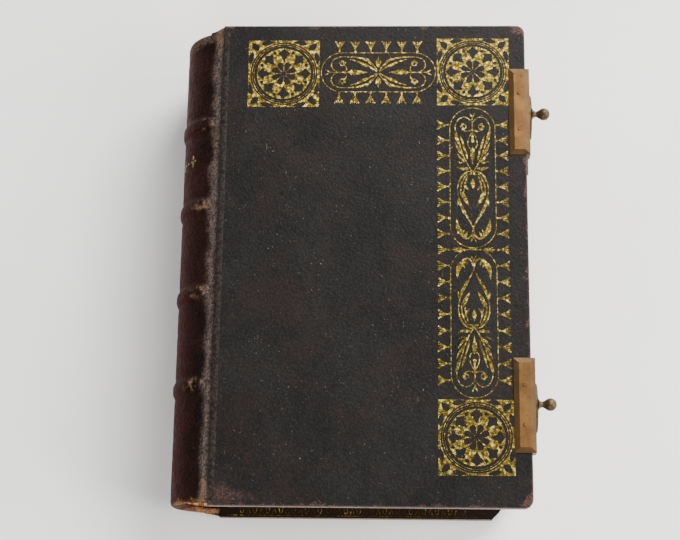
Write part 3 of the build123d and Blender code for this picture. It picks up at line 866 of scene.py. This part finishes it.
# ------------------------------------------------------------------ gold tooling
class Foil:
    """Flat shapes in millimetres on a cover: gold leaf, and leather left bare over it."""

    def __init__(self):
        """Start with nothing drawn."""
        self.faces = []
        self.bare = []

    def shape(self, points, bare=False):
        """Add one outline, as gold or as leather left bare."""
        (self.bare if bare else self.faces).append(list(points))

    def line(self, points, width, end_width=None, closed=False):
        """A ribbon along points; its width can change evenly from one end to the other."""
        end_width = width if end_width is None else end_width
        count = len(points)
        sides = []
        for i, (x, y) in enumerate(points):
            before = points[(i - 1) % count] if closed or i else points[i]
            after = points[(i + 1) % count] if closed or i < count - 1 else points[i]
            dx, dy = after[0] - before[0], after[1] - before[1]
            length = math.hypot(dx, dy) or 1.0
            half = (width + (end_width - width) * i / max(count - 1, 1)) / 2
            nx, ny = -dy / length * half, dx / length * half
            sides.append(((x + nx, y + ny), (x - nx, y - ny)))
        pairs = list(zip(sides, sides[1:])) + ([(sides[-1], sides[0])] if closed else [])
        for (left, right), (next_left, next_right) in pairs:
            self.shape([left, right, next_right, next_left])

    def blade(self, start, end, width, bow=0.0, bare=False):
        """A leaf from start to end, widest before its middle, bowed to one side."""
        dx, dy = end[0] - start[0], end[1] - start[1]
        length = math.hypot(dx, dy)
        nx, ny = -dy / length, dx / length
        left, right = [], []
        for i in range(9):
            t = i / 8
            side = bow * math.sin(math.pi * t)
            half = width / 2 * math.sin(math.pi * t**0.75)
            x, y = start[0] + dx * t, start[1] + dy * t
            left.append((x + nx * (side + half), y + ny * (side + half)))
            right.append((x + nx * (side - half), y + ny * (side - half)))
        self.shape(left + right[-2:0:-1], bare)

    def disc(self, centre, radius, count=10, bare=False):
        """A small round spot."""
        self.shape([turned(centre, radius, 2 * math.pi * i / count) for i in range(count)], bare)


def turned(centre, radius, angle):
    """Point at a distance and an angle from a centre."""
    return centre[0] + radius * math.cos(angle), centre[1] + radius * math.sin(angle)


def arc(centre, radius, start_deg, end_deg, count=24):
    """Points along an arc."""
    return [
        turned(centre, radius, math.radians(start_deg + (end_deg - start_deg) * i / count))
        for i in range(count + 1)
    ]


def between(t, p, q, r, s):
    """Value at a share t of the way from q to r, on a smooth curve through four values."""
    square = (2 * p - 5 * q + 4 * r - s) * t * t
    cube = (3 * q - p - 3 * r + s) * t**3
    return 0.5 * (2 * q + (r - p) * t + square + cube)


def smooth(points, count=8):
    """A smooth curve through a few points."""
    ends = [points[0], *points, points[-1]]
    result = []
    for a, b, c, d in zip(ends, ends[1:], ends[2:], ends[3:]):
        for i in range(count):
            t = i / count
            result.append(tuple(between(t, *four) for four in zip(a, b, c, d)))
    result.append(points[-1])
    return result


class Stamp:
    """Draws in a tool's own coordinates: s along its axis and t across it, put on the cover."""

    def __init__(self, foil, centre, along, flip=1):
        """A tool held over a centre, its axis along a unit vector; flip -1 mirrors it."""
        self.foil, self.centre, self.along, self.flip = foil, centre, along, flip

    def at(self, point):
        """Where a point of the tool comes to lie on the cover."""
        s, t = point[0], point[1] * self.flip
        ax, ay = self.along
        return self.centre[0] + s * ax - t * ay, self.centre[1] + s * ay + t * ax

    def both_sides(self, draw):
        """Draw once on each side of the axis."""
        for flip in (1, -1):
            draw(Stamp(self.foil, self.centre, self.along, flip))

    def line(self, points, width, end_width=None, closed=False):
        """A ribbon along points."""
        self.foil.line([self.at(p) for p in points], width, end_width, closed)

    def curve(self, points, width, end_width=None):
        """A ribbon along a smooth curve through points."""
        self.line(smooth(points), width, end_width)

    def swell(self, points, width, tip=0.12):
        """A stroke that is thin at both ends and full in between."""
        path = smooth(points)
        half = len(path) // 2
        self.line(path[: half + 1], tip, width)
        self.line(path[half:], width, tip)

    def blade(self, start, end, width, bow=0.0, bare=False):
        """A leaf from start to end."""
        self.foil.blade(self.at(start), self.at(end), width, bow * self.flip, bare)

    def disc(self, centre, radius, bare=False):
        """A small round spot."""
        self.foil.disc(self.at(centre), radius, bare=bare)

    def shape(self, points, bare=False):
        """One outline."""
        self.foil.shape([self.at(p) for p in points], bare)


def finial(foil, foot, along):
    """A small trumpet flower on a bead, standing outwards from a cartouche."""
    tool = Stamp(foil, foot, along)
    tool.disc((0.36, 0), 0.28)
    tool.line([(0.6, 0), (1.2, 0)], 0.18, 0.34)
    tool.line([(1.15, 0), (2.8, 0)], 0.3, 0.24)

    def petal(side):
        """One side of the flower's mouth."""
        side.line([(1.05, 0.04), (2.0, 0.48), (2.95, 1.08)], 0.3, 0.32)
        side.blade((1.9, 0.3), (3.0, 0.62), 0.2)

    tool.both_sides(petal)


def rosette(foil, centre, side):
    """A wheel flower in gold: dark lilies and beads on a gold ring, in a square with leaves."""
    half = side / 2
    tool = Stamp(foil, centre, (1, 0))
    for quarter in range(4):
        ax, ay = ((1, 0), (0, 1), (-1, 0), (0, -1))[quarter]
        corner = Stamp(foil, centre, (ax, ay))
        quadrant = arc((0, 0), half - 0.48, 90, 0, 18)
        corner.shape([(half, 0), (half, half), (0, half)] + quadrant)
        corner.blade((half - 2.5, half - 2.45), (half - 0.6, half - 0.65), 1.55, bare=True)
        for flip in (1, -1):
            root = turned((0, 0), 9.3, math.radians(45 + flip * 9))
            tip = turned((0, 0), 8.4, math.radians(45 + flip * 30))
            corner.blade(root, tip, 1.2, -0.12 * flip, bare=True)
    for radius, width in ((half - 0.9, 0.14), (half - 1.36, 0.09)):
        tool.line(arc((0, 0), radius, 0, 360, 72)[:-1], width, closed=True)
    half_petal = (
        (3.0, 0.0), (2.95, 9.0), (2.7, 15.5), (2.1, 19.3), (1.2, 20.6), (0.5, 19.5), (0.5, 22.5),
        (3.05, 22.5), (3.15, 21.0), (4.0, 15.2), (4.7, 13.0), (4.95, 7.6), (5.55, 7.6),
        (5.75, 14.5), (6.1, 18.6), (6.32, 21.5), (6.45, 21.5), (6.45, 11.0), (6.45, 0.0),
    )
    for petal in range(8):
        middle = 22.5 + 45 * petal
        for flip in (1, -1):
            tool.shape([turned((0, 0), r, math.radians(middle + flip * a)) for r, a in half_petal])
        tool.disc(turned((0, 0), 5.68, math.radians(middle)), 0.42, bare=True)


def sprig(tool, s):
    """A little Y at the end of a cartouche."""
    tool.line([(s, 0), (s + 0.8, 0)], 0.24)
    tool.both_sides(lambda side: side.blade((s + 0.6, 0), (s + 1.9, 0.72), 0.3))


def arrow_leaf(tool, start, end, width):
    """A pointed leaf on the axis, lobed on both sides."""
    length = end - start
    tool.blade((start, 0), (end, 0), width * 0.62)

    def lobes(side):
        """The three lobes of one side."""
        for share, reach in ((0.18, 0.85), (0.38, 1.0), (0.58, 0.75)):
            root = start + length * (share + 0.12)
            side.blade((root, 0.05), (start + length * share * 0.8, width / 2 * reach), 0.4)

    tool.both_sides(lobes)


def flower(tool, centre):
    """A small flower of three round leaves about a bare middle."""
    for angle in (20, 90, 165):
        tool.disc(turned(centre, 0.56, math.radians(angle)), 0.34)
    tool.line(arc(centre, 0.55, 165, 330, 8), 0.22)


def acanthus_side(side):
    """One side of the leaf heart: a rib from the node with feathered leaves outside it."""
    side.curve([(1.2, 0.08), (3.0, 1.15), (5.5, 2.25), (8.5, 3.1), (11.2, 3.85)], 0.26, 0.3)
    side.curve([(11.0, 3.8), (11.8, 4.05), (13.1, 3.9), (14.4, 3.2)], 0.3, 0.18)
    side.curve([(14.4, 3.2), (14.9, 2.0), (14.5, 0.95), (13.6, 0.05)], 0.2)
    for root, tip, width, bow in (
        ((2.1, 0.7), (2.5, 3.9), 0.75, 0.3),
        ((3.4, 2.2), (3.9, 3.7), 0.35, 0.1),
        ((3.5, 1.6), (6.1, 3.8), 0.55, 0.12),
        ((5.3, 2.4), (8.7, 4.15), 0.55, 0.12),
        ((8.0, 3.2), (11.6, 4.3), 0.5, 0.1),
        ((4.0, 1.15), (8.0, 2.15), 0.42, -0.1),
        ((6.6, 1.95), (10.6, 3.0), 0.5, -0.14),
    ):
        side.blade(root, tip, width, bow)


def heart_half(tool):
    """Half of a cartouche: a leaf heart with two flowers, a vase and a pointed leaf."""

    def side_draw(side):
        """The leaf, the vase and the flower of one side."""
        acanthus_side(side)
        side.curve([(11.7, 0.05), (11.35, 0.9), (11.4, 1.8), (12.0, 2.5)], 0.26)
        flower(side, (12.5, 2.0))
        side.curve([(11.1, 0.05), (9.8, 0.8), (8.2, 1.1), (7.2, 0.75), (7.0, 0.2)], 0.2)

    tool.both_sides(side_draw)
    tool.line([(11.0, 0), (13.8, 0)], 0.3)
    tool.shape([(10.7, 0.1), (10.7, -0.1), (8.7, -0.4), (8.5, 0), (8.7, 0.4)])
    arrow_leaf(tool, 7.4, 3.0, 1.2)
    sprig(tool, 14.2)


def tulip_half(tool):
    """The other half: a tulip of two broad leaves over a V, whose foot carries two plumes."""

    def side_draw(side):
        """The broad leaf and the plume of one side."""
        side.swell([(-0.9, 0.05), (-1.35, 0.9), (-0.7, 2.1), (0.9, 3.1), (2.8, 3.55), (4.9, 3.4)], 0.42)
        side.swell([(-0.8, 1.3), (0.1, 1.95), (1.6, 2.6), (3.2, 2.85), (4.6, 2.75)], 0.42)
        side.swell([(-0.2, 1.25), (0.8, 1.6), (2.2, 1.95), (3.7, 2.1)], 0.36)
        side.blade((3.5, 2.5), (7.3, 0.75), 0.9, 0.22)
        side.blade((1.6, 2.1), (3.4, 0.85), 0.5, 0.1)
        side.swell([(4.6, 3.4), (6.3, 3.0), (8.0, 2.35), (10.1, 1.15), (12.3, 0.05)], 0.78)
        side.blade((5.0, 3.2), (7.3, 3.7), 0.6, -0.05)
        side.curve([(12.4, 0.0), (14.2, 0.4), (15.0, 1.4), (14.5, 2.6)], 0.26, 0.5)
        side.blade((15.0, 1.7), (10.0, 3.8), 1.15, -0.75)
        side.blade((14.3, 2.6), (11.5, 3.35), 0.4, -0.2)
        side.blade((14.8, 2.5), (13.2, 1.35), 0.6, 0.2)
        side.blade((14.0, 2.9), (12.8, 2.0), 0.5, 0.1)

    tool.both_sides(side_draw)
    tool.blade((2.8, 0), (0.2, 0), 1.0)
    tool.both_sides(lambda side: side.blade((-0.9, 0.0), (-0.5, 1.1), 0.5))
    tool.line([(12.0, 0), (14.4, 0)], 0.3)
    sprig(tool, 14.0)


def crossed_half(tool):
    """Half of the cartouche at the head: two leaves in an X, a heart end and an arrow leaf."""

    def side_draw(side):
        """The crossing leaf, the heart end and the flower of one side."""
        side.swell([(0.15, 0.3), (1.5, 2.2), (3.3, 3.3), (5.6, 3.85), (9.1, 3.95)], 0.5)
        side.swell([(0.3, 0.2), (2.2, 1.45), (4.2, 2.45), (6.8, 3.35)], 0.6)
        side.blade((1.0, 1.5), (3.0, 3.9), 0.6, -0.1)
        side.blade((1.9, 1.3), (4.3, 1.95), 0.5, 0.1)
        side.blade((3.6, 2.2), (5.4, 2.75), 0.4, 0.1)
        side.curve([(9.0, 3.95), (10.6, 3.3), (11.2, 2.0), (10.8, 0.8), (9.8, 0.1)], 0.2)
        side.curve([(8.1, 0.05), (7.6, 0.6), (7.7, 1.4), (8.1, 1.8)], 0.22)
        flower(side, (8.6, 2.25))

    tool.both_sides(side_draw)
    tool.line([(7.2, 0), (10.9, 0)], 0.2)
    arrow_leaf(tool, 7.4, 2.5, 1.6)
    sprig(tool, 10.8)


def stadium(foil, centre, along, length, width):
    """A long frame with round ends, drawn as one thin line."""
    radius = width / 2
    reach = length / 2 - radius
    tool = Stamp(foil, centre, along)
    outline = arc((reach, 0), radius, -90, 90, 20) + arc((-reach, 0), radius, 90, 270, 20)
    tool.line(outline, 0.15, closed=True)


ROSETTE_SIDE = 17.0
ROSETTES = ((15.1, 102.5), (60.1, 103.0), (60.1, 15.5))
COLUMN_X = 59.85
CARTOUCHE_WIDTH = 10.6
COLUMN_CARTOUCHES = ((76.6, 34.4, 1), (41.8, 34.8, -1))
HEAD_CARTOUCHE = (37.65, 102.85, 27.2, 10.0)
FINIAL_PITCH = 3.82
COLUMN_FINIALS = 17
COLUMN_TOP_FINIAL = 89.5
HEAD_FINIAL_PITCH = 3.71
HEAD_FINIALS = 6


def cover_tooling():
    """All the gold on one cover: three rosettes and the frames between them."""
    foil = Foil()
    for centre in ROSETTES:
        rosette(foil, centre, ROSETTE_SIDE)
    x, y, length, width = HEAD_CARTOUCHE
    stadium(foil, (x, y), (1, 0), length, width)
    for way in (1, -1):
        crossed_half(Stamp(foil, (x, y), (way, 0)))
        bud = Stamp(foil, (x, y), (0, way))
        bud.blade((1.2, 0), (4.0, 0), 0.6)
        bud.both_sides(lambda side: side.blade((1.3, 0.05), (3.3, 0.55), 0.4, 0.1))
    for i in range(HEAD_FINIALS):
        place = x + (i - (HEAD_FINIALS - 1) / 2) * HEAD_FINIAL_PITCH
        for way in (1, -1):
            finial(foil, (place, y + way * width / 2), (0, way))
    for y, length, top in COLUMN_CARTOUCHES:
        stadium(foil, (COLUMN_X, y), (0, 1), length, CARTOUCHE_WIDTH)
        heart_half(Stamp(foil, (COLUMN_X, y), (0, top)))
        tulip_half(Stamp(foil, (COLUMN_X, y), (0, -top)))
    for i in range(COLUMN_FINIALS):
        place = COLUMN_TOP_FINIAL - i * FINIAL_PITCH
        for way in (1, -1):
            finial(foil, (COLUMN_X + way * CARTOUCHE_WIDTH / 2, place), (way, 0))
    middle = COLUMN_TOP_FINIAL - (COLUMN_FINIALS // 2) * FINIAL_PITCH
    for way in (1, -1):
        arrow = Stamp(foil, (COLUMN_X, middle), (way, 0))
        arrow.line([(0, 0), (2.6, 0)], 0.2)
        arrow.blade((2.2, 0), (5.2, 0), 0.45)
        for root in (2.2, 3.1):
            arrow.both_sides(lambda side: side.blade((root, 0), (root + 1.5, 0.6), 0.3))
    return foil


LEAF_THICKNESS = 0.02
LEAF_STEP = 0.0012
LEAF_STEPS = 20


def press_foil(name, foil, place, outward, body, finish):
    """Press shapes on a surface as thin closed leaf; place(x, y, lift) gives its points.

    Each shape lies a hair above the last, so that crossing ones never share a plane."""
    points, faces = [], []
    for number, outline in enumerate(foil.faces + foil.bare):
        lift = LEAF_THICKNESS + LEAF_STEP * (number % LEAF_STEPS)
        lift += LEAF_STEP * LEAF_STEPS if number >= len(foil.faces) else 0
        start = len(points)
        points += [place(x, y, lift) for x, y in outline]
        faces.append(list(range(start, start + len(outline))))
    mesh = bpy.data.meshes.new(name)
    mesh.from_pydata(points, [], faces)
    piece = bpy.data.objects.new(name, mesh)
    bpy.context.scene.collection.objects.link(piece)
    for number, polygon in enumerate(mesh.polygons):
        if polygon.normal.dot(outward(polygon.center)) < 0:
            polygon.flip()
        polygon.material_index = int(number >= len(foil.faces))
    mesh.update()
    mesh.materials.append(finish)
    mesh.materials.append(cover_skin)
    solid = piece.modifiers.new("leaf_thickness", "SOLIDIFY")
    solid.thickness = LEAF_THICKNESS * MM
    solid.offset = -1
    apply_all(piece)
    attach(piece, body)
    return piece


def lay_foil(name, foil, level, upwards, body, finish=gold_leaf):
    """Press the shapes on to a flat cover face at a height."""
    way = 1 if upwards else -1
    press_foil(
        name,
        foil,
        lambda x, y, lift: spot(x, y, level + way * lift),
        lambda centre: Vector((0, 0, way)),
        body,
        finish,
    )


lay_foil("front_cover_tooling", cover_tooling(), FRONT_TOP, True, "front_cover")
lay_foil("back_cover_tooling", cover_tooling(), 0.0, False, "back_cover")


ROLL_INSET = 0.5
ROLL_PITCH = 1.5
ROLL_LINES = (0.0, 2.2, 2.6)
BROKEN_CORNER = (10.0, 9.5)


def border_roll(inset, broken=False):
    """The roll on the turned-in leather inside a cover; it stops short of a broken corner."""
    foil = Foil()
    width, length = COVER_WIDTH - inset, COVER_LENGTH - inset
    lost_x, lost_y = BROKEN_CORNER if broken else (0.0, 0.0)
    runs = (
        ((2.0, inset), (width - lost_x, inset), (0, 1)),
        ((width, inset + lost_y), (width, length), (-1, 0)),
        ((2.0, length), (width, length), (0, -1)),
    )
    for start, end, inward in runs:
        dx, dy = end[0] - start[0], end[1] - start[1]
        total = math.hypot(dx, dy)
        ux, uy = dx / total, dy / total
        for offset in ROLL_LINES:
            side = [(x + inward[0] * offset, y + inward[1] * offset) for x, y in (start, end)]
            foil.line(side, 0.12)
        count = int(total / ROLL_PITCH)
        for k in range(2, count - 2):
            s = (k + 0.5) * total / count
            tool = Stamp(foil, (start[0] + ux * s, start[1] + uy * s), inward)
            if k % 2:
                tool.line([(0.45, -0.45), (1.75, 0.0), (0.45, 0.45)], 0.2)
            else:
                tool.curve([(1.75, -0.4), (0.9, -0.36), (0.5, 0.0), (0.9, 0.36), (1.75, 0.4)], 0.2)
    return foil


back_roll = border_roll(ROLL_INSET, broken=True)
lay_foil("back_border_roll", back_roll, BACK_INNER, True, "back_cover", dull_gold_leaf)
front_roll = border_roll(ROLL_INSET)
lay_foil("front_border_roll", front_roll, FRONT_INNER, False, "front_cover", dull_gold_leaf)

SPINE_ORNAMENT_Y = 82.2
SPINE_ORNAMENT_PITCH = 2.3
SPINE_ORNAMENT_SIDE = 4


def spine_ornament():
    """A row of small leaf crosses and dots around the second panel of the spine."""
    foil = Foil()
    for k in range(-SPINE_ORNAMENT_SIDE, SPINE_ORNAMENT_SIDE + 1):
        tool = Stamp(foil, (k * SPINE_ORNAMENT_PITCH, SPINE_ORNAMENT_Y), (0, 1))
        if k % 2:
            tool.disc((0, 0), 0.34)
            continue
        for way in (1, -1):
            tool.blade((way * 0.15, 0), (way * 1.5, 0), 0.62)
            tool.blade((0, way * 0.15), (0, way * 1.2), 0.55)
    return foil


def on_spine_round(x, y, lift):
    """A point of the spine from its distance around and its distance from the tail."""
    radius = SPINE_RADIUS + lift
    angle = math.pi - x / SPINE_RADIUS
    return spot(
        SPINE_CENTRE_X + radius * math.cos(angle), y, SPINE_CENTRE_Z + radius * math.sin(angle)
    )


press_foil(
    "spine_ornament",
    spine_ornament(),
    on_spine_round,
    lambda centre: centre - spot(SPINE_CENTRE_X, (centre.y - TAIL_Y) / MM, SPINE_CENTRE_Z),
    "book_block",
    gold_leaf,
)

# ------------------------------------------------------------------ floor, light and camera
nothing_selected()
FLOOR_SIZE = 3.0
FLOOR_DROP = 0.0003
bpy.ops.mesh.primitive_plane_add(size=FLOOR_SIZE, location=(0, 0, -FLOOR_DROP))
floor = bpy.context.object
floor.name = "studio_floor"
floor.data.materials.append(floor_paper("studio_paper"))

world = bpy.data.worlds.new("studio")
world.use_nodes = True
sky = world.node_tree.nodes["Background"]
sky.inputs["Color"].default_value = (1, 1, 1, 1)
sky.inputs["Strength"].default_value = 0.25
bpy.context.scene.world = world


def soft_light(name, place, size, power):
    """A square soft box pointing at the frame's origin."""
    data = bpy.data.lights.new(name, "AREA")
    data.shape = "SQUARE"
    data.size = size
    data.energy = power
    light = bpy.data.objects.new(name, data)
    light.location = place
    light.rotation_euler = (-Vector(place)).to_track_quat("-Z", "Y").to_euler()
    bpy.context.scene.collection.objects.link(light)


soft_light("key_light", place=(0.40, 0.65, 0.50), size=0.5, power=22.0)
soft_light("fill_light", place=(0.80, -0.15, 0.45), size=0.6, power=14.0)
soft_light("front_light", place=(-0.1, -0.85, 0.50), size=0.5, power=8.0)
soft_light("left_light", place=(-0.85, 0.15, 0.50), size=0.6, power=1.5)

CAMERA_PLACE = spot(41.0, -37.0, 359.3)
CAMERA_TURN = (15.37, 1.83, 0.78)
LENS = 79.2
SENSOR = 36.0
camera_data = bpy.data.cameras.new("camera")
camera_data.sensor_width = SENSOR
camera_data.lens = LENS
camera_data.clip_start = 0.01
camera = bpy.data.objects.new("camera", camera_data)
camera.location = CAMERA_PLACE
camera.rotation_euler = [math.radians(a) for a in CAMERA_TURN]
bpy.context.scene.collection.objects.link(camera)
bpy.context.scene.camera = camera
